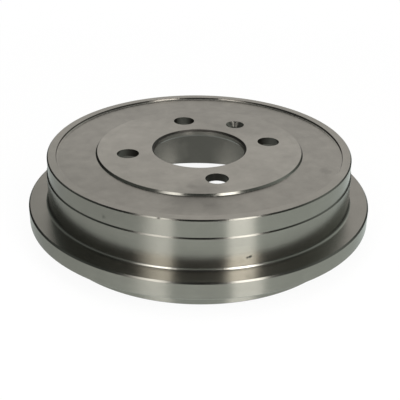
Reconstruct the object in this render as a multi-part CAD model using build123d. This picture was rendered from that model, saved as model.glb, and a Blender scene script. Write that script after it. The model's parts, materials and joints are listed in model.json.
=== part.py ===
from build123d import *
import os
from math import radians, tan

# Brake drum for a rear wheel: one turned and drilled iron casting.
# It stands on its open mouth, with the wheel face up. The origin is the centre of the mouth's
# face, +Z is the wheel axis and points to the wheel side, and the first stud hole lies on +X.
# All sizes are in millimetres and all angles in degrees.

# Main body: the braking bore, the wall around it, and the narrower band left as cast above it
overall_height = 58.7
friction_diameter = 200.0
wall_thickness = 5.4
cast_band_length = 10.2
cast_band_step = 1.0
cast_corner_radius = 7.0

# Upper band of the wall, turned a little smaller than the rest and ending in a slanted step
upper_band_height = 11.65
upper_band_cut = 0.8

# Stiffening flange, standing out of the wall above the mouth ring
flange_overhang = 13.75
flange_thickness = 11.95
mouth_ring_height = 12.85

# Wheel face: a raised rim at the edge, a recessed ring, and the raised pad for the wheel
rim_width = 6.15
rim_foot_radius = 1.2
pad_diameter = 141.0
recess_depth = 1.45
shoulder_slope = 35.0

# Plate between the wheel pad and the hub seat
pad_thickness = 5.3
hub_seat_diameter = 145.0
hub_seat_depth = 1.2
hub_seat_corner_radius = 0.8

# Centre bore
bore_diameter = 63.0
bore_outer_chamfer = 1.25
bore_inner_chamfer = 1.5

# Stud holes and the retaining screw's hole, all on one circle
pitch_circle_diameter = 100.0
stud_hole_count = 4
stud_hole_diameter = 15.0
screw_hole_diameter = 6.6
countersink_diameter = 13.2
countersink_angle = 90.0

# Edges
rim_chamfer = 0.8
flange_top_chamfer = 1.0
flange_lower_chamfer = 0.6
mouth_outer_chamfer = 0.5
mouth_inner_chamfer = 0.5
wall_foot_radius = 2.0
under_flange_radius = 1.5

# Radii worked out from the sizes above
friction_radius = friction_diameter / 2
cast_band_radius = friction_radius - cast_band_step
wall_radius = friction_radius + wall_thickness
band_radius = wall_radius - upper_band_cut
flange_radius = wall_radius + flange_overhang
rim_inner_radius = band_radius - rim_width
pad_radius = pad_diameter / 2
bore_radius = bore_diameter / 2
hub_seat_radius = hub_seat_diameter / 2
pitch_radius = pitch_circle_diameter / 2

# Heights and angles worked out from the sizes above
wheel_face = overall_height
recess_floor = wheel_face - recess_depth
shoulder_run = recess_depth * tan(radians(shoulder_slope))
hub_seat = wheel_face - pad_thickness
cast_ceiling = hub_seat - hub_seat_depth
step_top = wheel_face - upper_band_height
step_bottom = step_top - upper_band_cut
flange_underside = mouth_ring_height
flange_top = flange_underside + flange_thickness
run_out_top = cast_ceiling - cast_band_length
friction_top = run_out_top - cast_band_step
screw_hole_bearing = 180 / stud_hole_count

# Named corners of the section that are rounded after the outline is closed
rim_foot = (rim_inner_radius, recess_floor)
wall_foot = (wall_radius, flange_top)
under_flange = (wall_radius, flange_underside)
cast_corner = (cast_band_radius, cast_ceiling)
hub_seat_corner = (hub_seat_radius, hub_seat)


def outer_wall():
    """Corners of the outside, from the mouth up to the rim's top: ring, flange, wall and band."""
    return [
        (wall_radius - mouth_outer_chamfer, 0),
        (wall_radius, mouth_outer_chamfer),
        under_flange,
        (flange_radius - flange_lower_chamfer, flange_underside),
        (flange_radius, flange_underside + flange_lower_chamfer),
        (flange_radius, flange_top - flange_top_chamfer),
        (flange_radius - flange_top_chamfer, flange_top),
        wall_foot,
        (wall_radius, step_bottom),
        (band_radius, step_top),
        (band_radius, wheel_face - rim_chamfer),
        (band_radius - rim_chamfer, wheel_face),
    ]


def wheel_side():
    """Corners of the wheel face, from the rim inwards to the bore: rim, recess, pad and chamfer."""
    return [
        (rim_inner_radius, wheel_face),
        rim_foot,
        (pad_radius + shoulder_run, recess_floor),
        (pad_radius, wheel_face),
        (bore_radius + bore_outer_chamfer, wheel_face),
        (bore_radius, wheel_face - bore_outer_chamfer),
    ]


def inside():
    """Corners of the hidden side, from the bore out to the mouth: seat, cast ceiling and friction bore."""
    return [
        (bore_radius, hub_seat + bore_inner_chamfer),
        (bore_radius + bore_inner_chamfer, hub_seat),
        hub_seat_corner,
        (hub_seat_radius, cast_ceiling),
        cast_corner,
        (cast_band_radius, run_out_top),
        (friction_radius, friction_top),
        (friction_radius, mouth_inner_chamfer),
        (friction_radius + mouth_inner_chamfer, 0),
    ]


def corner_at(sketch, place):
    """The sketch's vertex that lies nearest to a (radius, height) pair."""
    target = Vector(place[0], 0, place[1])
    return min(sketch.vertices(), key=lambda vertex: (Vector(*vertex) - target).length)


def section():
    """Half of the drum's section, right of the axis, with its cast and turned corners rounded."""
    outline = outer_wall() + wheel_side() + inside()
    rounded = [
        (rim_foot, min(rim_foot_radius, 0.85 * recess_depth)),
        (wall_foot, wall_foot_radius),
        (under_flange, under_flange_radius),
        (cast_corner, cast_corner_radius),
        (hub_seat_corner, hub_seat_corner_radius),
    ]
    with BuildSketch(Plane.XZ) as half:
        with BuildLine():
            Polyline(*outline, close=True)
        make_face()
    face = half.sketch
    for place, radius in rounded:
        face = fillet(corner_at(face, place), radius)
    return face


def drum():
    """The section turned about the wheel axis, with its stud holes and countersunk screw hole."""
    turned = revolve(section(), axis=Axis.Z)
    with BuildPart() as body:
        add(turned)
        with Locations((0, 0, wheel_face)):
            with PolarLocations(pitch_radius, stud_hole_count):
                Hole(stud_hole_diameter / 2)
            with PolarLocations(pitch_radius, 1, start_angle=screw_hole_bearing):
                CounterSinkHole(
                    screw_hole_diameter / 2,
                    countersink_diameter / 2,
                    counter_sink_angle=countersink_angle,
                )
    return body.part


os.makedirs("parts", exist_ok=True)
brake_drum = drum()
export_step(brake_drum, "parts/brake_drum.step")
print("brake_drum volume", round(brake_drum.volume), "solids", len(brake_drum.solids()))
print("size", brake_drum.bounding_box().size)
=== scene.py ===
# %% [markdown]
# # A turned cast-iron brake drum
# A brake drum is a shallow iron pot that is cast, turned on a lathe and drilled. This lesson builds one
# as a skin of turned surfaces, worked out with numpy, and gives each machined face the finish of its tool
# marks. The construction model comes first: it fixes the size and place of everything that follows.

# %% Load the construction model
import json
import math

import bpy
import numpy as np
from mathutils import Matrix, Vector


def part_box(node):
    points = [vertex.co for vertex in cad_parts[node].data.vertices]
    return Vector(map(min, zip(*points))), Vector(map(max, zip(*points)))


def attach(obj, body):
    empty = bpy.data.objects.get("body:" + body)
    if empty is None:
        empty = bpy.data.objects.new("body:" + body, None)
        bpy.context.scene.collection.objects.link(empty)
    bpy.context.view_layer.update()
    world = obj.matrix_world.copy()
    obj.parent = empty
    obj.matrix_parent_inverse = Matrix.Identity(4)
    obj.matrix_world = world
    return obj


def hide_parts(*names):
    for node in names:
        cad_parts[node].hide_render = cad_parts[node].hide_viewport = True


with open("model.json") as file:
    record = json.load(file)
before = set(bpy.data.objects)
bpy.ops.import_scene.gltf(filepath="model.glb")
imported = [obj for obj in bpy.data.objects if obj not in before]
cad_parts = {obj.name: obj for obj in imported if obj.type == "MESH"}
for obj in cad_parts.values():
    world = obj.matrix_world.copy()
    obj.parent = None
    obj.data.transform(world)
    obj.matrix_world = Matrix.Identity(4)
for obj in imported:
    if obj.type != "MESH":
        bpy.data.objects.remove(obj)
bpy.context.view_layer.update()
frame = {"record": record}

# %% [markdown]
# ## Sizes
# The mating sizes, such as the bores and the circle of stud holes, are read from the model's own record,
# so the skin can't drift away from them. The few that the record doesn't hold are written here once, in
# millimetres, as a turner would read them off a drawing.

# %% Mating sizes, read from the model
MM = 0.001
mounts = {mount["name"]: mount for mount in frame["record"]["mounts"]}

drum_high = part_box("brake_drum")[1]
wheel_face = drum_high.z / MM
flange_radius = drum_high.x / MM
hub_seat = mounts["hub_seat"]["pos_m"][2] / MM
bore_radius = mounts["centre_bore"]["dims"]["r_mm"]
friction_radius = mounts["friction_surface"]["dims"]["r_mm"]
pitch_radius = mounts["stud_holes"]["dims"]["pcd_mm"] / 2
stud_hole_radius = mounts["stud_holes"]["dims"]["hole_r_mm"]
stud_hole_count = mounts["stud_holes"]["dims"]["count"]
screw_hole_radius = mounts["screw_hole"]["dims"]["r_mm"]
print("height", round(wheel_face, 2), "across", round(2 * flange_radius, 2))
print("braking bore", 2 * friction_radius, "stud holes", stud_hole_count)

# %% Drawing sizes that the record doesn't hold
wall_thickness = 5.4
cast_band_length, cast_band_step, cast_corner_rounding = 10.2, 1.0, 7.0
upper_band_height, upper_band_cut = 11.65, 0.8
flange_thickness, mouth_ring_height = 11.95, 12.85
rim_width, pad_radius, recess_depth, shoulder_slope = 6.15, 70.5, 1.45, 35.0
rim_foot_rounding = 1.2
hub_seat_radius, hub_seat_depth, hub_seat_rounding = 72.5, 1.2, 0.8
bore_outer_chamfer, bore_inner_chamfer = 1.25, 1.5
countersink_radius = 6.6
rim_chamfer, flange_top_chamfer, flange_lower_chamfer, mouth_chamfer = 0.8, 1.0, 0.6, 0.5
wall_foot_rounding, under_flange_rounding = 2.0, 1.5

wall_radius = friction_radius + wall_thickness
band_radius = wall_radius - upper_band_cut
rim_inner_radius = band_radius - rim_width
recess_floor = wheel_face - recess_depth
shoulder_run = recess_depth * math.tan(math.radians(shoulder_slope))
cast_ceiling = hub_seat - hub_seat_depth
cast_band_radius = friction_radius - cast_band_step
run_out_top = cast_ceiling - cast_band_length
friction_top = run_out_top - cast_band_step
step_top = wheel_face - upper_band_height
flange_top = mouth_ring_height + flange_thickness
print("wall", wall_radius, "upper band", round(band_radius, 2))
print("flange from", mouth_ring_height, "to", round(flange_top, 2))

# %% [markdown]
# ## Broken edges
# No machined edge is a true knife edge: the turner breaks it, and that thin rounded line is what flashes
# under a lamp. A bevel modifier could round the finished mesh. Here each corner of the outline carries its
# own rounding instead, because the arc's formula also gives the exact slope of the metal at every point,
# and polished metal shows any slope that is only nearly right.

# %% Round one corner
def arc_corner(before, corner, after, rounding, steps):
    """One rounded corner: an arc that leaves the run into the corner and joins the run out of it.

    With a turn of angle a, the arc starts rounding * tan(a / 2) before the corner. A share s along it, it
    has moved rounding * sin(s * a) on in the old direction and rounding * (1 - cos(s * a)) to the side
    that it turns to, and it points in the old direction turned by s * a.
    """
    into = (corner - before) / np.linalg.norm(corner - before)
    out_of = (after - corner) / np.linalg.norm(after - corner)
    left = np.array([-into[1], into[0]])
    turn = math.atan2(out_of @ left, out_of @ into)
    start = corner - into * rounding * math.tan(abs(turn) / 2)
    angle = np.linspace(0.0, turn, steps + 1)[:, None]
    sideways = math.copysign(rounding, turn) * (1 - np.cos(angle))
    places = start + rounding * np.sin(abs(angle)) * into + sideways * left
    return places, np.cos(angle) * into + np.sin(angle) * left


square_corner = [np.array(place, float) for place in ((0, 0), (10, 0), (10, 10))]
print("a square corner rounded by 1 mm:", arc_corner(*square_corner, 1.0, 2)[0].round(2).tolist())


# %% Round a whole outline
ARC_STEPS, LONG_ARC_STEPS, CAST_ARC_STEPS = 4, 8, 12


def outline(*corners):
    """A profile of (radius, height) places with the metal's outward slope at each.

    Each corner is (radius, height) for an end of the profile, or (radius, height, rounding), or
    (radius, height, rounding, steps). The metal lies on the left of the way the profile runs, so the
    outward slope is its direction turned a quarter to the right.
    """
    places = [np.array(corner[:2], float) for corner in corners]
    first_way = (places[1] - places[0]) / np.linalg.norm(places[1] - places[0])
    last_way = (places[-1] - places[-2]) / np.linalg.norm(places[-1] - places[-2])
    run = [(places[0][None], first_way[None])]
    for k in range(1, len(corners) - 1):
        rounding = corners[k][2]
        steps = corners[k][3] if len(corners[k]) > 3 else ARC_STEPS
        run.append(arc_corner(places[k - 1], places[k], places[k + 1], rounding, steps))
    run.append((places[-1][None], last_way[None]))
    place = np.concatenate([part[0] for part in run])
    way = np.concatenate([part[1] for part in run])
    return place, np.stack([way[:, 1], -way[:, 0]], axis=1)


step_outline = outline((10, 0), (10, 5, 0.5), (8, 5))
print("an outline with one rounded corner has", len(step_outline[0]), "places")

# %% [markdown]
# ## The turned outline
# One outline, carried round the wheel axis, gives nearly the whole drum. It starts on the hub seat inside,
# runs out over the cast ceiling, down the braking bore to the mouth, up the outside past the flange and
# the step, and in over the rim and the recess to the wheel pad. It stops where the ring with the holes
# begins. A second, short outline is the centre bore with its two chamfers. Insets and extrusions of a
# cylinder would give the same steps, but a lathe cuts the real drum along one line, so an outline has the
# corners and roundings of the metal and is as easy to change as a drawing.

# %% The outline of the drum's body
holes_from, holes_to = 33.4, 66.0
hairline, crisp, fine, keen, broken, dull, soft = 0.04, 0.10, 0.12, 0.15, 0.20, 0.30, 0.40

body_outline = outline(
    (holes_to, hub_seat),
    (hub_seat_radius, hub_seat, hub_seat_rounding),
    (hub_seat_radius, cast_ceiling, dull),
    (cast_band_radius, cast_ceiling, cast_corner_rounding, CAST_ARC_STEPS),
    (cast_band_radius, run_out_top, soft),
    (friction_radius, friction_top, dull),
    (friction_radius, mouth_chamfer, fine),
    (friction_radius + mouth_chamfer, 0.0, fine),
    (wall_radius - mouth_chamfer, 0.0, fine),
    (wall_radius, mouth_chamfer, fine),
    (wall_radius, mouth_ring_height, under_flange_rounding, LONG_ARC_STEPS),
    (flange_radius - flange_lower_chamfer, mouth_ring_height, keen),
    (flange_radius, mouth_ring_height + flange_lower_chamfer, keen),
    (flange_radius, flange_top - flange_top_chamfer, broken),
    (flange_radius - flange_top_chamfer, flange_top, broken),
    (wall_radius, flange_top, wall_foot_rounding, LONG_ARC_STEPS),
    (wall_radius, step_top - upper_band_cut, crisp),
    (band_radius, step_top, crisp),
    (band_radius, wheel_face - rim_chamfer, broken),
    (band_radius - rim_chamfer, wheel_face, broken),
    (rim_inner_radius, wheel_face, keen),
    (rim_inner_radius, recess_floor, rim_foot_rounding, LONG_ARC_STEPS),
    (pad_radius + shoulder_run, recess_floor, dull),
    (pad_radius, wheel_face, broken),
    (holes_to, wheel_face),
)
print("places along the body's outline:", len(body_outline[0]))

# %% The outline of the centre bore
bore_outline = outline(
    (holes_from, wheel_face),
    (bore_radius + bore_outer_chamfer, wheel_face, keen),
    (bore_radius, wheel_face - bore_outer_chamfer, keen),
    (bore_radius, hub_seat + bore_inner_chamfer, hairline),
    (bore_radius + bore_inner_chamfer, hub_seat, keen),
    (holes_from, hub_seat),
)
print("places along the bore's outline:", len(bore_outline[0]))

# %% [markdown]
# ## The lean of the wall
# A turning tool's feed leaves a fine saw-tooth. Its long faces are taken to lean down a little here, towards
# the flange, so that the wall mirrors a lower part of the room than a smooth cylinder would. That is a
# guess: the photograph is too coarse to show the grooves, and the angle was set by what the wall mirrors.
# The grooves could be cut into the mesh or made by bump, but they are far too fine for either, so only the
# slopes between the flange and the step are turned down.

# %% Lean the wall's slopes
SAW_TOOTH_LEAN = math.radians(2.5)
ON_LINE, UPRIGHT = 0.01, 0.99

place, slope = body_outline
on_wall = (abs(place[:, 0] - wall_radius) < ON_LINE) & (place[:, 1] > flange_top) & (slope[:, 0] > UPRIGHT)
slope[on_wall] = [math.cos(SAW_TOOTH_LEAN), -math.sin(SAW_TOOTH_LEAN)]
print("outline places on the leaning wall:", int(on_wall.sum()))

# %% [markdown]
# ## Carrying an outline round an axis
# Spin or the Screw modifier could do this. A grid of two numbers is as simple and gives more: the column
# is the angle round the axis and the row is the place along the outline, so places, slopes and the
# finish's own map all come from one formula.

# %% Turn an outline into a grid
COLUMNS = 360
full_turn = np.radians(np.arange(COLUMNS + 1) * 360.0 / COLUMNS)


def turned(profile, angles, centre=(0.0, 0.0)):
    """A surface of revolution as (places, slopes, map), each a grid of rows along the outline.

    A place is the centre plus radius times (cos, sin) of the angle, at the outline's height. Its slope is
    the outline's slope turned by the same angle. The map's first number is the length along the outline
    and its second is the angle, so that the first one always runs across the tool marks.
    """
    place, slope = profile
    cos, sin = np.cos(angles)[None, :], np.sin(angles)[None, :]
    radius, height = place[:, :1], place[:, 1:]
    places = np.stack([centre[0] + radius * cos, centre[1] + radius * sin, height + 0 * cos], axis=2)
    slopes = np.stack([slope[:, :1] * cos, slope[:, :1] * sin, slope[:, 1:] + 0 * cos], axis=2)
    length = np.concatenate([[0.0], np.cumsum(np.linalg.norm(np.diff(place, axis=0), axis=1))])
    across = length[:, None] / length[-1] + 0 * cos
    along = angles[None, :] / (2 * np.pi) + 0 * across
    return places, slopes, np.stack([across, along], axis=2)


body_skin = turned(body_outline, full_turn)
bore_skin = turned(bore_outline, full_turn)
print("grids of the body and the bore:", body_skin[0].shape[:2], bore_skin[0].shape[:2])

# %% [markdown]
# ## The ring with the holes
# A flat ring with holes in it isn't a simple grid. It is cut into five fields, one round each hole, and
# each field is a grid of its own: the rows go from the hole's edge to the border of the field, in straight
# lines. A boolean cut would also make the holes, but it leaves long thin triangles and untidy shading.

# %% The border of a field
RAY_STEPS = 16


def field_border(start, end):
    """The border of one field of the ring, as points in order round it.

    It runs out along the ray at the start angle, round the outer circle, in along the ray at the end
    angle, and back round the inner circle. Its points on the circles are those of the turned grids'
    columns. Each is a complex number, x + iy.
    """
    steps = int(round((end - start) * COLUMNS / 360.0))
    round_way = np.radians(np.linspace(start, end, steps + 1))
    ray = np.linspace(holes_from, holes_to, RAY_STEPS + 1)
    going_out, going_in = np.full(RAY_STEPS, round_way[0]), np.full(RAY_STEPS, round_way[-1])
    angle = np.concatenate([going_out, round_way[:-1], going_in, round_way[:0:-1]])
    radius = np.concatenate([ray[:-1], np.full(steps, holes_to), ray[:0:-1], np.full(steps, holes_from)])
    closed = np.append(np.arange(len(angle)), 0)
    return (radius * np.exp(1j * angle))[closed]


print("points round a field of 90 degrees:", len(field_border(0.0, 90.0)) - 1)

# %% The grid between a hole and its border
EVENING = 0.25
FIELD_ROWS, CROWDING = 5, 1.5
MAP_SPAN = 100.0


def angles_round(border, centre):
    """The angle on the hole's edge that belongs to each point of the border.

    It lies between the angle at which the hole's centre sees that point and an even spacing, because the
    centre sees points on the far side of the inner circle very close together.
    """
    seen = np.unwrap(np.angle(border - centre))
    even = np.linspace(seen[0], seen[-1], len(seen))
    return seen + EVENING * (even - seen)


def field(border, centre, hole_edge, height, up):
    """The flat grid between a hole's edge and the border of its field.

    A point is the share v of the straight way from the hole's edge to the border, with the rows crowded
    towards the hole. The map is the drum's own, radius and angle, because the face was turned before it
    was drilled.
    """
    edge = centre + hole_edge * np.exp(1j * angles_round(border, centre))
    v = np.linspace(0.0, 1.0, FIELD_ROWS)[:, None] ** CROWDING
    flat = edge * (1 - v) + border * v
    if up:
        flat = flat[::-1]
    places = np.stack([flat.real, flat.imag, height + 0 * flat.real], axis=2)
    slopes = np.zeros_like(places)
    slopes[..., 2] = 1.0 if up else -1.0
    around = np.unwrap(np.angle(flat), axis=1) / (2 * np.pi)
    return places, slopes, np.stack([abs(flat) / MAP_SPAN, around], axis=2)


sample_field = field(field_border(-45.0, 45.0), pitch_radius, stud_hole_radius, wheel_face, up=True)
print("grid of one field:", sample_field[0].shape[:2])

# %% [markdown]
# ## The drilled holes
# The wheel's four studs pass through plain drilled holes, and the retaining screw sits in a countersunk
# one. Each hole's wall is again an outline turned round an axis, the hole's own this time. It takes its
# columns from the border of its field, so wall and face share their points and no gap can open.

# %% Outlines of the drilled holes
EDGE = 0.12

stud_outline = outline(
    (stud_hole_radius + EDGE, wheel_face),
    (stud_hole_radius, wheel_face, EDGE / 2),
    (stud_hole_radius, hub_seat, EDGE / 2),
    (stud_hole_radius + EDGE, hub_seat),
)
sink_depth = countersink_radius - screw_hole_radius
screw_outline = outline(
    (countersink_radius + EDGE, wheel_face),
    (countersink_radius, wheel_face, EDGE / 3),
    (screw_hole_radius, wheel_face - sink_depth, EDGE / 3),
    (screw_hole_radius, hub_seat, EDGE / 2),
    (screw_hole_radius + EDGE, hub_seat),
)
print("countersink", round(sink_depth, 2), "mm deep")

# %% Share the ring out among the five holes
SCREW_FIELD = 30.0
SAME_BEARING = 1.0

stud_bearings = [360.0 / stud_hole_count * k for k in range(stud_hole_count)]
screw_bearing = math.degrees(math.atan2(*mounts["screw_hole"]["pos_m"][1::-1]))
holes = [(screw_bearing, screw_bearing - SCREW_FIELD / 2, screw_bearing + SCREW_FIELD / 2, screw_outline)]
for bearing in stud_bearings:
    half = 180.0 / stud_hole_count
    start, end = bearing - half, bearing + half
    if abs(end - screw_bearing) < SAME_BEARING:
        end -= SCREW_FIELD / 2
    if abs(start - screw_bearing) < SAME_BEARING:
        start += SCREW_FIELD / 2
    holes.append((bearing, start, end, stud_outline))
print("fields in degrees:", [(round(start), round(end)) for bearing, start, end, profile in holes])

# %% Fields and walls of the five holes
plate_skins, wall_skins = [], []
for bearing, start, end, profile in holes:
    centre = pitch_radius * np.exp(1j * math.radians(bearing))
    border = field_border(start, end)
    plate_skins.append(field(border, centre, profile[0][0, 0], wheel_face, up=True))
    plate_skins.append(field(border, centre, profile[0][-1, 0], hub_seat, up=False))
    wall_skins.append(turned(profile, angles_round(border, centre), (centre.real, centre.imag)))
print("fields:", len(plate_skins), "hole walls:", len(wall_skins))

# %% [markdown]
# ## One closed skin
# The grids meet along shared rows and columns. Places that fall together are made one vertex, so the skin
# is closed, while every face corner keeps the exact slope that its own grid gave it. Blender calls these
# custom normals. Without them it would average the slopes of neighbouring faces, and flat metal would look
# dented.

# %% Join the grids into a mesh
GRAIN, GRAIN_SHIFT = 1e-6 / MM, 0.37


def join_grids(name, skins):
    """A mesh from grids: the places are merged where they agree to a thousandth of a millimetre.

    Each cell of a grid is one face, listed along the column first and the row second, so that it faces the
    way that its slopes point. The shift keeps round sizes away from the border between two grains.
    """
    cells, start = [], 0
    for places, slopes, chart in skins:
        number = start + np.arange(places.shape[0] * places.shape[1]).reshape(places.shape[:2])
        start += number.size
        cell = np.stack([number[:-1, :-1], number[:-1, 1:], number[1:, 1:], number[1:, :-1]], axis=2)
        cells.append(cell.reshape(-1, 4))
    cell = np.concatenate(cells)
    place = np.concatenate([skin[0].reshape(-1, 3) for skin in skins])
    slope = np.concatenate([skin[1].reshape(-1, 3) for skin in skins])
    chart = np.concatenate([skin[2].reshape(-1, 2) for skin in skins])

    key = np.floor(place / GRAIN + GRAIN_SHIFT).astype(np.int64)
    first, merged = np.unique(key, axis=0, return_index=True, return_inverse=True)[1:]
    merged = merged.reshape(-1)

    mesh = bpy.data.meshes.new(name)
    mesh.vertices.add(len(first))
    mesh.vertices.foreach_set("co", (place[first] * MM).astype(np.float32).ravel())
    mesh.loops.add(cell.size)
    mesh.loops.foreach_set("vertex_index", merged[cell.ravel()].astype(np.int32))
    mesh.polygons.add(len(cell))
    mesh.polygons.foreach_set("loop_start", np.arange(0, cell.size, 4, dtype=np.int32))
    mesh.polygons.foreach_set("use_smooth", np.ones(len(cell), dtype=bool))
    chart_layer = mesh.uv_layers.new(name="turning")
    chart_layer.data.foreach_set("uv", chart[cell.ravel()].astype(np.float32).ravel())
    mesh.update(calc_edges=True)
    mesh.normals_split_custom_set(slope[cell.ravel()].astype(np.float32))
    return mesh


skins = [body_skin, bore_skin] + plate_skins + wall_skins
drum_mesh = join_grids("drum_skin", skins)
drum = bpy.data.objects.new("drum_skin", drum_mesh)
bpy.context.scene.collection.objects.link(drum)
print("vertices", len(drum_mesh.vertices), "faces", len(drum_mesh.polygons))

# %% [markdown]
# ## Testing the skin
# A casting has no gap in it, so each edge of its skin has a face on either side and each face looks
# outwards. Blender can mark open edges in edit mode, but a count in the script is there at every run: an
# edge without two faces, a face whose slopes point away from it, or one with no area is a fault.

# %% Count the open edges and the folded or empty faces, which should be none
AGREES = 0.5


def read_all(items, name, width=1, kind=np.float32):
    """One number, or one row of them, from every item of a mesh."""
    values = np.zeros(len(items) * width, dtype=kind)
    items.foreach_get(name, values)
    return values.reshape(-1, width) if width > 1 else values


edge_of_corner = read_all(drum_mesh.loops, "edge_index", kind=np.int32)
faces_on_edge = np.bincount(edge_of_corner, minlength=len(drum_mesh.edges))
face_slopes = read_all(drum_mesh.polygons, "normal", 3)
corner_slopes = read_all(drum_mesh.corner_normals, "vector", 3).reshape(-1, 4, 3)
agreement = (face_slopes[:, None] * corner_slopes).sum(axis=2).min(axis=1)
areas = read_all(drum_mesh.polygons, "area") / MM ** 2
print("edges without two faces:", int((faces_on_edge != 2).sum()))
print("folded faces:", int((agreement < AGREES).sum()))
print("least face in square millimetres:", round(float(areas.min()), 5))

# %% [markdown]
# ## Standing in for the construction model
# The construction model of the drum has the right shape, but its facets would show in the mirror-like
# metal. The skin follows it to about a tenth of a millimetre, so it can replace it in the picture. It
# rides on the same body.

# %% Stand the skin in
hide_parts("brake_drum")
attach(drum, "root")
print("skin from", round(float(areas.sum()) / 100), "square centimetres of metal")

# %% [markdown]
# ## The finish of turned iron
# A lathe tool leaves one fine spiral groove. Along the groove the metal is nearly a mirror, and across it
# the light is spread wide, so a lamp becomes a sharp-sided band that fades up and down. The shader has
# that as anisotropy: its roughness is stretched along a tangent, and the drum's own map gives that
# tangent, because its first number always runs across the grooves. A flat grey with some gloss would show
# round highlights, which turned metal never has.

# %% Node helpers
def add(tree, kind, inputs=None, output=0, **settings):
    """Adds one node, sets or wires its inputs, and returns one of its outputs.

    It returns the node itself if it has no outputs, or if output is None.
    """
    node = tree.nodes.new("ShaderNode" + kind)
    for name, value in settings.items():
        setattr(node, name, value)
    for name, value in (inputs or {}).items():
        if isinstance(value, bpy.types.NodeSocket):
            tree.links.new(value, node.inputs[name])
        else:
            node.inputs[name].default_value = value
    if output is None or not node.outputs:
        return node
    return node.outputs[output]


def calc(tree, operation, first, second=0.0):
    """One step of arithmetic on outputs or plain numbers."""
    return add(tree, "Math", {0: first, 1: second}, operation=operation)


def ramp(tree, value, first, last, start=0.0, end=1.0):
    """Goes from first to last while the value goes from start to end, and holds both ends."""
    ends = {"From Min": start, "From Max": end, "To Min": first, "To Max": last}
    return add(tree, "MapRange", {"Value": value, **ends})


def new_finish(name):
    """An empty material and its node tree."""
    material = bpy.data.materials.new(name)
    material.use_nodes = True
    material.node_tree.nodes.clear()
    return material, material.node_tree


print("helpers ready: add, calc, ramp, new_finish")

# %% [markdown]
# ## Tool marks
# The marks are rings round the wheel axis, hardly visible one by one. A wave texture would make them too
# even. Noise that is squeezed across the grooves and stretched along them has the uneven spacing that a
# real cut has, and it needs only the place on the drum, so it stays put in every view.

# %% Noise in rings
FINE_PITCH = 0.35 * MM
HEIGHT_SHARE = 1.37
NOISE_ROUGHNESS = 0.6


def tool_marks(tree, pitch, drift, detail=0.0):
    """Noise that changes every pitch across the grooves and only every drift along them, in metres.

    Its first coordinate is the radius plus 1.37 times the height, which changes across the grooves on flat
    faces, walls and chamfers alike.
    """
    x, y, height = add(tree, "SeparateXYZ", {0: add(tree, "TexCoord", output="Object")}, output=None).outputs
    flat = add(tree, "CombineXYZ", {"X": x, "Y": y})
    radius = add(tree, "VectorMath", {0: flat}, output="Value", operation="LENGTH")
    across = calc(tree, "ADD", radius, calc(tree, "MULTIPLY", height, HEIGHT_SHARE))
    spot = add(tree, "CombineXYZ", {
        "X": calc(tree, "DIVIDE", across, pitch),
        "Y": calc(tree, "DIVIDE", x, drift),
        "Z": calc(tree, "DIVIDE", y, drift),
    })
    return add(tree, "TexNoise", {
        "Vector": spot, "Scale": 1.0, "Detail": detail, "Roughness": NOISE_ROUGHNESS,
    })


print("fine marks from the mouth up to the wheel face:", round(wheel_face * MM * HEIGHT_SHARE / FINE_PITCH))

# %% [markdown]
# ## Marks of handling, painted light and painted shade
# A new drum isn't spotless: it has a smudge of oil here, and a pit or a nick there. A painted image could
# hold them, but it would need a map without seams. A distance from one place on the drum, made ragged by
# noise, gives each mark its own spot in metal and needs no image. Three marks have a darkness below 0 and
# are light patches: they stand for light that the photograph shows there and this room doesn't give.
# Three broad dark marks, two on the pad and one on the recess, are painted shade that darkens those parts of
# the faces.

# %% The share of a mark
RAGGED, GRAINS_IN_MARK, FULL_SHARE = 1.6, 1.2, 0.25


def near_mark(tree, spot, radius, height, bearing, size):
    """1 at the middle of a mark and 0 away from it, with a ragged border. Sizes are in millimetres.

    It is the distance from the mark's place, measured after noise has pushed each point a little aside.
    """
    angle = math.radians(bearing)
    reach = size * MM
    middle = (radius * math.cos(angle) * MM, radius * math.sin(angle) * MM, height * MM)
    noise = add(tree, "TexNoise", {
        "Vector": spot, "Scale": GRAINS_IN_MARK / reach, "Detail": 3.0,
    }, output="Color")
    aside = add(tree, "VectorMath", {0: noise, 1: (0.5, 0.5, 0.5)}, operation="SUBTRACT")
    aside = add(tree, "VectorMath", {0: aside, "Scale": RAGGED * reach}, operation="SCALE")
    pushed = add(tree, "VectorMath", {0: spot, 1: aside}, operation="ADD")
    away = add(tree, "VectorMath", {0: pushed, 1: middle}, output="Value", operation="DISTANCE")
    return ramp(tree, away, 1.0, 0.0, FULL_SHARE * reach, reach)


print("the border of a 4 mm mark is pushed aside by up to", 4 * RAGGED / 2, "mm in each direction")

# %% Where the marks and painted patches are: radius, height, bearing, size and darkness, which is below 0 for a painted light patch
wall_pits = [(wall_radius, 32.25, 273.9, 1.0, 0.8), (wall_radius, 31.85, 272.9, 0.8, 0.5)]
wall_marks = [(band_radius, 51.2, 223.3, 2.0, 0.35)]
# On the edges the first mark is a nick, and the second, a pale stretch of the pad's shoulder, is a painted
# highlight.
edge_nick_and_painted_highlight = [(band_radius - 0.3, wheel_face - 0.4, 243.6, 1.6, 0.75), (71.0, 58.0, 318.0, 34.0, -1.3)]
# On the pad the small mark is a smudge, and the two broad ones, at its front and its back, are painted
# shade.
pad_smudge_and_painted_shade = [(60.8, wheel_face, 251.6, 4.0, 0.14), (70.0, wheel_face, 258.0, 22.0, 0.24),
             (58.0, wheel_face, 76.4, 62.0, 0.15)]
# On the recess the small mark is a smudge, and the broad one at the front is painted shade.
recess_smudge_and_painted_shade = [(89.7, recess_floor, 324.9, 5.0, 0.2), (74.0, recess_floor, 257.0, 30.0, 0.30)]
# Both patches on the braking bore are painted reflections of the lamps, lighter than the iron round them.
braking_painted_reflections = [(friction_radius, 6.0, 92.5, 18.0, -0.55), (friction_radius, 6.0, 61.0, 17.0, -0.36)]
# The broad patches counted with the smudges on the pad and the recess are painted shade.
print("pits:", len(wall_pits), "smudges on the pad and the recess:", len(pad_smudge_and_painted_shade) + len(recess_smudge_and_painted_shade))
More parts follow.
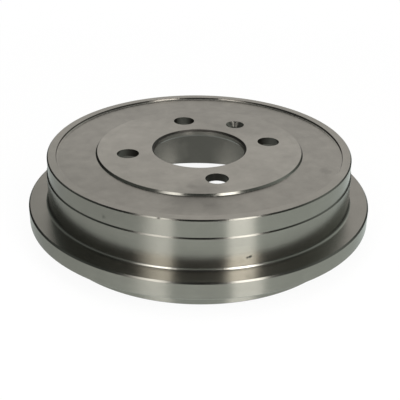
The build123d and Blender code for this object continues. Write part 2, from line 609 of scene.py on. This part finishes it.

# %% [markdown]
# ## One finish, many cuts
# Every face of the drum is the same iron, but each was cut with another tool, or not at all. One function
# makes the metal and takes what differs: how light it is, how far its gloss spreads along and across the
# grooves, and how deep and wide the grooves are. Twelve separate node trees would say the same thing less
# clearly, and a change to the iron would have to be made twelve times. How light each finish is was set in
# this room, until the picture came near the photograph, and wasn't measured on metal.
# The darker copies are partly painted shade: those of the braking bore, the drilled holes and the
# countersink for shade inside the drum and the holes, and those of the broken edges and the bore's edge for
# dimmer glints.

# %% One finish of bare iron
FINE_DEPTH = 0.0006 * MM
FINE_DRIFT, BROAD_DRIFT, BROAD_PITCHES = 150 * MM, 120 * MM, 9
STAINS_PER_METRE, PIT_DEPTH = 90.0, 0.2 * MM
GRAZING_TINT = (0.75, 0.75, 0.75, 1)
STRETCH, GLOSS_DRIFT = 0.9, 0.1


def bare_iron(name, colour, along, across, pitch=FINE_PITCH, depth=FINE_DEPTH, bands=0.05, stains=0.10,
              marks=(), pits=()):
    """Bare metal with tool marks, whose gloss is spread by along and across the grooves.

    Those two are the shader's own lobe widths. It squares its roughness, and its anisotropy stretches the
    lobe: with a stretch s = sqrt(1 - 0.9 * anisotropy), the widths are roughness^2 / s and
    roughness^2 * s. Pitch is the spacing of the tool marks and depth their bump. Bands and stains are how
    far those two change the colour. A mark or a pit is (radius, height, bearing, size, darkness), and a
    pit is sunk as well.
    """
    material, tree = new_finish(name)
    spot = add(tree, "TexCoord", output="Object")
    fine_marks = tool_marks(tree, pitch, FINE_DRIFT)
    broad_marks = tool_marks(tree, BROAD_PITCHES * pitch, BROAD_DRIFT, detail=2.0)
    stain = add(tree, "TexNoise", {
        "Vector": spot, "Scale": STAINS_PER_METRE, "Detail": 4.0, "Roughness": NOISE_ROUGHNESS,
    })

    shade = calc(tree, "MULTIPLY", ramp(tree, broad_marks, 1 - bands, 1 + bands),
                 ramp(tree, stain, 1 - stains, 1 + stains))
    for *place, darkness in (*marks, *pits):
        share = near_mark(tree, spot, *place)
        shade = calc(tree, "MULTIPLY", shade, ramp(tree, share, 1.0, 1 - darkness))
    tint = add(tree, "VectorMath", {0: tuple(colour), "Scale": shade}, operation="SCALE")
    roughness = math.sqrt(math.sqrt(along * across))
    rough = calc(tree, "MULTIPLY", ramp(tree, broad_marks, 1 - GLOSS_DRIFT, 1 + GLOSS_DRIFT), roughness)

    bump = add(tree, "Bump", {"Height": fine_marks, "Strength": 1.0, "Distance": depth})
    for *place, darkness in pits:
        sunk = calc(tree, "SUBTRACT", 1.0, near_mark(tree, spot, *place))
        bump = add(tree, "Bump", {"Height": sunk, "Strength": 1.0, "Distance": PIT_DEPTH, "Normal": bump})
    shader = add(tree, "BsdfPrincipled", {
        "Base Color": tint, "Metallic": 1.0, "Roughness": rough, "Normal": bump,
        "Tangent": add(tree, "Tangent", direction_type="UV_MAP", uv_map="turning"),
        "Anisotropic": (1 - along / across) / STRETCH, "Specular Tint": GRAZING_TINT,
    })
    add(tree, "OutputMaterial", {"Surface": shader})
    return material


print("fine marks are", round(FINE_PITCH / MM, 3), "mm apart, broad ones", BROAD_PITCHES, "times that")

# %% The finishes of the drum's faces
IRON = np.array([1.045, 1.0, 0.90])
WARM_IRON = np.array([1.09, 1.0, 0.91])
pad_iron = bare_iron("pad_iron", 0.292 * IRON, 0.03, 0.11, stains=0.22, marks=pad_smudge_and_painted_shade)
recess_iron = bare_iron("recess_iron", 0.255 * IRON, 0.03, 0.12, stains=0.22, marks=recess_smudge_and_painted_shade)
wall_iron = bare_iron("wall_iron", 0.236 * IRON, 0.03, 0.075, marks=wall_marks, pits=wall_pits)
flange_iron = bare_iron("flange_iron", 0.236 * IRON, 0.03, 0.12)
# Painted shade: the braking, drilled, countersink, edge and bore-edge copies are darker, for shade inside
# the drum and the holes and for dimmer glints on the edges.
braking_iron = bare_iron("braking_iron", 0.118 * WARM_IRON, 0.03, 0.12, marks=braking_painted_reflections)
drilled_iron = bare_iron("drilled_iron", 0.10 * IRON, 0.08, 0.12, depth=0.0)
cast_iron = bare_iron("cast_iron_skin", 0.058 * IRON, 0.36, 0.36, pitch=1.5 * MM, depth=0.05 * MM)
edge_iron = bare_iron("edge_iron", 0.12 * IRON, 0.03, 0.07, marks=edge_nick_and_painted_highlight)
sink_iron = bare_iron("countersink_iron", 0.12 * IRON, 0.09, 0.16, depth=0.0)
bore_edge_iron = bare_iron("bore_edge_iron", 0.048 * WARM_IRON, 0.20, 0.24)
land_iron = bare_iron("bore_land_iron", 0.25 * WARM_IRON, 0.03, 0.12)
rim_iron = bare_iron("rim_iron", 0.27 * IRON, 0.03, 0.12, stains=0.15)

finishes = [pad_iron, recess_iron, wall_iron, flange_iron, braking_iron, drilled_iron, cast_iron, edge_iron,
            sink_iron, bore_edge_iron, land_iron, rim_iron]
for finish in finishes:
    drum_mesh.materials.append(finish)
print("finishes on the drum:", len(finishes))

# %% [markdown]
# ## Which face has which finish
# On the real drum the tool that cut a face gives it its finish, so a face's place and lean say which one
# it has. Picking faces by hand in edit mode would do for one drum. Rules that read the same sizes as the
# outline still hold when a size changes.
# Some rules also pick a darker copy of the iron, as painted shade, where a face should glint less.

# %% Rules for the zones
(PAD, RECESS, WALL, FLANGE, BRAKING, DRILLED, CAST, BROKEN_EDGE,
 SINK, BORE_EDGE, LAND, RIM) = range(len(finishes))
TOUCH, NEAR, MARGIN, WALL_REACH = 0.1, 0.2, 0.5, 1.5
BARELY_UP, SLANTED, FOOT_ENDS, LEVEL = 0.05, 0.2, 0.75, 0.97


def zone_of(radius, height, upward):
    """The number of the finish at a place. Upward is the upward part of the metal's slope there.

    The first rule that holds decides, and what no rule takes is the braking bore's finish.
    """
    wheel_side = height > recess_floor - MARGIN
    at_wall_foot = ((abs(radius - wall_radius) < wall_foot_rounding + NEAR)
                    & (height < flange_top + wall_foot_rounding + NEAR))
    in_rim = (wheel_side & (abs(radius - rim_inner_radius) < rim_foot_rounding)
              & (radius < rim_inner_radius + TOUCH))
    on_bore_edge = (upward > BARELY_UP) & (radius < bore_radius + bore_outer_chamfer + TOUCH / 2)
    outside = radius > wall_radius - TOUCH
    rules = [
        # Painted shade: the bore's edge, the rim's inner wall with its top edge, and the broken edges take
        # darker copies of the iron, which dim their glints.
        (on_bore_edge & wheel_side, BORE_EDGE),
        (in_rim & ((upward < FOOT_ENDS) | (height > wheel_face - NEAR)), BRAKING),
        (in_rim, RECESS),
        ((upward > SLANTED) & (upward < LEVEL) & ~at_wall_foot, BROKEN_EDGE),
        (radius < bore_radius + TOUCH, LAND),
        (wheel_side & (radius < pad_radius + TOUCH), PAD),
        (wheel_side & (radius < rim_inner_radius - MARGIN), RECESS),
        (wheel_side & (radius < band_radius - rim_chamfer), RIM),
        ((radius > wall_radius - WALL_REACH) & (height > flange_top + wall_foot_rounding), WALL),
        (outside & (height > mouth_ring_height - 2 * MARGIN) & (upward > SLANTED), FLANGE),
        (outside, WALL),
        ((radius > hub_seat_radius) & (radius < friction_radius) & (height > friction_top), CAST),
    ]
    return np.select([where for where, finish in rules], [finish for where, finish in rules], BRAKING)


sample_zones = zone_of(np.array([pad_radius - 5, wall_radius]), np.array([wheel_face, step_top - 5]),
                       np.array([1.0, 0.0]))
print("finish of a place on the pad and on the wall:", [finishes[k].name for k in sample_zones])

# %% Give each face the finish of its zone
centres = read_all(drum_mesh.polygons, "center", 3) / MM
zones = zone_of(np.hypot(centres[:, 0], centres[:, 1]), centres[:, 2], face_slopes[:, 2])

hole_faces = sum((skin[0].shape[0] - 1) * (skin[0].shape[1] - 1) for skin in wall_skins)
# The holes get the darker drilled and countersink finishes, which are painted shade.
zones[-hole_faces:] = DRILLED
screw_x = pitch_radius * math.cos(math.radians(screw_bearing))
screw_y = pitch_radius * math.sin(math.radians(screw_bearing))
at_screw = np.hypot(centres[:, 0] - screw_x, centres[:, 1] - screw_y) < countersink_radius + 2 * MARGIN
zones[(zones == DRILLED) & at_screw & (centres[:, 2] > wheel_face - sink_depth)] = SINK
drum_mesh.polygons.foreach_set("material_index", zones.astype(np.int32))
print("faces by finish:", {finish.name: int((zones == k).sum()) for k, finish in enumerate(finishes)})

# %% [markdown]
# ## The room
# Bare metal has no look of its own: it shows the room. The drum stands on a pale glossy table in a white
# room. A dark curtain hangs round the camera's side, and two tall soft lamps stand before it. The curtain
# gives the metal its dark parts and the lamps its bright bands. Neither shows in the picture itself. A
# photographed surround would light the metal as well, but a few plain sheets can be placed one by one
# until each band falls where it should.

# %% Directions of the room
view_bearing, view_height = math.radians(256.4), math.radians(27.542)


def toward(turn, rise, distance):
    """A place in the room, at a distance in metres and in a direction that is given in degrees.

    The direction is turned from the camera's bearing and raised from level. The place is the distance
    times (cos rise * cos bearing, cos rise * sin bearing, sin rise).
    """
    bearing, rise = view_bearing + np.radians(turn), np.radians(rise)
    level = distance * np.cos(rise)
    return np.stack([level * np.cos(bearing), level * np.sin(bearing),
                     distance * np.sin(rise) + 0 * bearing], axis=-1)


print("one metre from the drum, level, on the camera's side:", toward(0.0, 0.0, 1.0).round(3).tolist())

# %% Sheets that glow and are only seen in the metal
def stage_sheet(name, places, glow, colour):
    """A grid of places as a piece of the stage that glows in a colour, with a brightness at each place."""
    number = np.arange(places.shape[0] * places.shape[1]).reshape(places.shape[:2])
    cells = np.stack([number[:-1, :-1], number[:-1, 1:], number[1:, 1:], number[1:, :-1]], axis=2)
    mesh = bpy.data.meshes.new(name)
    mesh.from_pydata(places.reshape(-1, 3).tolist(), [], cells.reshape(-1, 4).tolist())
    mesh.attributes.new("glow", "FLOAT", "POINT").data.foreach_set("value", glow.astype(np.float32).ravel())

    material, tree = new_finish(name + "_glow")
    strength = add(tree, "Attribute", output="Fac", attribute_name="glow")
    add(tree, "OutputMaterial", {"Surface": add(tree, "Emission", {"Color": colour, "Strength": strength})})
    mesh.materials.append(material)

    sheet = bpy.data.objects.new(name, mesh)
    bpy.context.scene.collection.objects.link(sheet)
    sheet.visible_camera = False
    print(name, "has", len(mesh.polygons), "cells, brightest", round(float(glow.max()), 2))
    return sheet


def seen_share(tree, by_camera, by_metal):
    """By_camera for what the camera sees directly, by_metal for what metal or glass shows, and else 0."""
    rays = add(tree, "LightPath", output=None).outputs
    mirrored = calc(tree, "MAXIMUM", rays["Is Glossy Ray"], rays["Is Transmission Ray"])
    direct = calc(tree, "MULTIPLY", rays["Is Camera Ray"], by_camera)
    return calc(tree, "MAXIMUM", direct, calc(tree, "MULTIPLY", mirrored, by_metal)), rays["Is Camera Ray"]


# %% [markdown]
# ## The white table
# The table is a sheet of pale glossy plastic, and what stands on it is mirrored in it. For the camera it
# is nearly pure white, and it keeps only a breath of the drum's shadow. The metal sees it a little green
# and glossy, with painted shade on it: less bright to the left and towards the camera. From below it is
# clear, so that the drum's inside can be looked at. One plain white plane would be simpler, but the turned
# wall would then mirror an even white, and it would lose most of its shape.

# %% Where a point of the table lies, seen from the camera
WHITE = (1, 1, 1, 1)
table_finish, tree = new_finish("white_table")
spot = add(tree, "TexCoord", output="Object")
x, y, height = add(tree, "SeparateXYZ", {0: spot}, output=None).outputs
to_right = calc(tree, "ADD", calc(tree, "MULTIPLY", x, -math.sin(view_bearing)),
                calc(tree, "MULTIPLY", y, math.cos(view_bearing)))
to_front = calc(tree, "ADD", calc(tree, "MULTIPLY", x, math.cos(view_bearing)),
                calc(tree, "MULTIPLY", y, math.sin(view_bearing)))
from_drum = add(tree, "VectorMath", {0: spot}, output="Value", operation="LENGTH")
print("the table's own directions need", len(tree.nodes), "nodes")

# %% How white it is to the camera and to the metal
AT_DRUM, ALL_WHITE_FROM = 0.93, 0.6
SEEN_TINT, MATT_GREY = (0.91, 1.0, 0.955, 1), (0.7, 0.7, 0.7, 1)
to_camera = ramp(tree, from_drum, AT_DRUM, 1.0, start=0.2, end=ALL_WHITE_FROM)
# Painted shade: to the metal the table is made dimmer to the left and towards the camera.
to_metal_with_painted_shade = calc(tree, "MULTIPLY", ramp(tree, to_right, 0.71, 0.97, start=-0.3, end=0.1),
                ramp(tree, to_front, 1.0, 0.4, start=0.2, end=0.7))
share, camera_ray = seen_share(tree, to_camera, to_metal_with_painted_shade)
# Painted shade: to the metal the table also glows less left of the drum.
strength = calc(tree, "MAXIMUM", camera_ray, ramp(tree, to_right, 0.78, 1.0, start=-0.13, end=-0.05))
sheet_colour = add(tree, "Mix", {"Factor": camera_ray, "A": SEEN_TINT, "B": WHITE},
                   output="Result", data_type="RGBA")
white = add(tree, "Emission", {"Color": sheet_colour, "Strength": strength})
lit = add(tree, "BsdfDiffuse", {"Color": MATT_GREY})
matt = add(tree, "MixShader", {0: share, 1: lit, 2: white})
print("white to the camera from", ALL_WHITE_FROM, "m on, and", AT_DRUM, "of white at the drum")

# %% Its gloss, and the clear view from below
TABLE_ROUGHNESS, TABLE_INDEX = 0.12, 1.85
gloss = add(tree, "BsdfGlossy", {"Color": WHITE, "Roughness": TABLE_ROUGHNESS})
not_camera = calc(tree, "SUBTRACT", 1.0, camera_ray)
mirror_share = calc(tree, "MULTIPLY", add(tree, "Fresnel", {"IOR": TABLE_INDEX}), not_camera)
top_side = add(tree, "MixShader", {0: mirror_share, 1: matt, 2: gloss})
from_below = add(tree, "NewGeometry", output="Backfacing")
surface = add(tree, "MixShader", {0: from_below, 1: top_side, 2: add(tree, "BsdfTransparent")})
add(tree, "OutputMaterial", {"Surface": surface})
print("nodes in the table's finish:", len(tree.nodes))

# %% The table itself
TABLE_HALF, TABLE_TOP = 3.0, -0.0002
corners = [(x * TABLE_HALF, y * TABLE_HALF, TABLE_TOP) for x, y in ((-1, -1), (1, -1), (1, 1), (-1, 1))]
table_mesh = bpy.data.meshes.new("table")
table_mesh.from_pydata(corners, [], [(0, 1, 2, 3)])
table_mesh.materials.append(table_finish)
table = bpy.data.objects.new("table", table_mesh)
bpy.context.scene.collection.objects.link(table)
print("table", 2 * TABLE_HALF, "m wide")

# %% [markdown]
# ## The white room
# Past the table the room is white too. The camera sees pure white, and the metal sees it a little warm.
# Light that reaches the drum by way of matt things is held at a plain level, so that the white comes from
# the colour and not from more light. The world's own nodes can tell these rays apart, and a set of walls
# could not.

# %% The white room
ROOM_LIGHT = 0.6
WARM_WHITE = (1, 0.983, 0.963, 1)
world = bpy.data.worlds.new("white_room")
bpy.context.scene.world = world
world.use_nodes = True
tree = world.node_tree
tree.nodes.clear()
share, camera_ray = seen_share(tree, 1.0, 1.0)
room_white = add(tree, "Mix", {"Factor": camera_ray, "A": WARM_WHITE, "B": WHITE},
                 output="Result", data_type="RGBA")
room = add(tree, "Background", {"Color": room_white, "Strength": ramp(tree, share, ROOM_LIGHT, 1.0)})
add(tree, "OutputWorld", {"Surface": room})
print("room light on matt things:", ROOM_LIGHT)

# %% [markdown]
# ## The dark curtain
# A studio hangs dark cloth round the camera, so that metal gets dark parts to set off its bright ones. Its
# brightness is worked out by direction: a paler band at half height, dark above, and paler towards the
# sides, with an opening overhead at the back. It is a glowing grid and not real cloth under lamps, because
# each direction can then be set by itself. Only the metal sees it: it doesn't light matt things, and it
# throws no shadow on them.

# %% Dark curtain round the camera's side
CURTAIN_DISTANCE = 1.7
CURTAIN_COLOUR = (0.90, 1.0, 0.945, 1)
OPENING_GLOW, OPENING_FROM, OPENING_FADE = 0.9, 58, 15
turn, rise = np.meshgrid(np.linspace(-160.0, 150.0, 63), np.linspace(0.0, 89.0, 31))
by_rise = np.interp(rise, [0, 12, 26, 32, 42, 55, 89], [0.10, 0.12, 0.50, 0.50, 0.20, 0.04, 0.03])
by_turn = np.interp(turn, [-160, -150, -130, -60, 0, 60, 80, 105, 150],
                    [1.2, 0.7, 0.6, 0.8, 1.0, 1.1, 1.3, 1.7, 2.2])
behind_drum = np.clip(-2 * np.cos(np.radians(turn)), 0, 1)
overhead = np.clip((rise - OPENING_FROM) / OPENING_FADE, 0, 1) * behind_drum
curtain_glow = np.clip(by_rise * by_turn + OPENING_GLOW * overhead, 0, 1)
curtain = stage_sheet("curtain", toward(turn, rise, CURTAIN_DISTANCE), curtain_glow, CURTAIN_COLOUR)
curtain.visible_diffuse = False
curtain.visible_shadow = False

# %% [markdown]
# ## The lamps
# Each bright band on the wall is the mirror image of a tall soft lamp. The lamps lean apart, as lamps on
# stands do, and both fade towards their outer edges, the left one over more than half its width. An area
# light would do, but it can't lean and fade, so these are sheets as well. A weak disc light overhead gives
# the matt parts and the table their plain level, and the metal doesn't see it.

# %% Two tall soft lamps
LAMP_DISTANCE = 1.3
LAMP_COLOUR = (1.0, 1.0, 0.97, 1)


def soft_lamp(name, inner, outer, brightness, feather, low=12.0, high=57.5):
    """A tall lamp with leaning edges. Inner and outer are the turns of its edges at bottom and top.

    A place is worked out from the four corners: the share across between the two edges, and the share up
    between bottom and top. Feather is the share of its width that fades towards the outer edge.
    """
    across, up = np.meshgrid(np.linspace(0.0, 1.0, 13), np.linspace(0.0, 1.0, 9))
    glow = brightness * np.clip((1 - across) / feather, 0, 1)
    across, up = across[..., None], up[..., None]
    low_inner, low_outer = [toward(edge[0], low, LAMP_DISTANCE) for edge in (inner, outer)]
    high_inner, high_outer = [toward(edge[1], high, LAMP_DISTANCE) for edge in (inner, outer)]
    bottom = low_inner * (1 - across) + low_outer * across
    top = high_inner * (1 - across) + high_outer * across
    return stage_sheet(name, bottom * (1 - up) + top * up, glow, LAMP_COLOUR)


soft_lamp("left_lamp", (-16.5, -23.5), (-37.0, -64.0), 7.2, 0.56)
soft_lamp("right_lamp", (19.0, 28.5), (37.5, 59.0), 10.5, 0.15)

# %% A weak lamp overhead
sky_data = bpy.data.lights.new("ceiling_lamp", "AREA")
sky_data.shape, sky_data.size, sky_data.energy = "DISK", 1.2, 12.0
ceiling_lamp = bpy.data.objects.new("ceiling_lamp", sky_data)
ceiling_lamp.location = (0, 0, 1.8)
ceiling_lamp.visible_camera = False
ceiling_lamp.visible_glossy = False
bpy.context.scene.collection.objects.link(ceiling_lamp)
print("ceiling lamp of", sky_data.energy, "watts at", round(ceiling_lamp.location.z, 2), "m")

# %% [markdown]
# ## The camera
# The camera stands where the photograph was taken from: its bearing, height, distance, lens and slight
# tilt were fitted to the edges of the drum. Dragging it by eye would come close, but the bands on the
# metal move with it, so it has to be right before the lamps are placed.

# %% The camera
view_distance = 0.58732
aim = Vector((0.000933, -0.000226, 0.01762))
picture_tilt = math.radians(0.781)

level_share = math.cos(view_height)
back = Vector((math.cos(view_bearing) * level_share, math.sin(view_bearing) * level_share,
               math.sin(view_height)))
level_right = Vector((0, 0, 1)).cross(back).normalized()
level_up = back.cross(level_right)
right = level_right * math.cos(picture_tilt) + level_up * math.sin(picture_tilt)
up = level_up * math.cos(picture_tilt) - level_right * math.sin(picture_tilt)

camera_data = bpy.data.cameras.new("camera")
camera_data.sensor_width = 36.0
camera_data.lens = 73.67
camera = bpy.data.objects.new("camera", camera_data)
stand = aim + view_distance * back
camera.matrix_world = Matrix(((right.x, up.x, back.x, stand.x), (right.y, up.y, back.y, stand.y),
                              (right.z, up.z, back.z, stand.z), (0, 0, 0, 1)))
bpy.context.scene.collection.objects.link(camera)
bpy.context.scene.camera = camera
print("camera at", [round(c, 4) for c in stand])

# %% [markdown] Show colours as they are written

bpy.context.scene.view_settings.view_transform = "Standard"
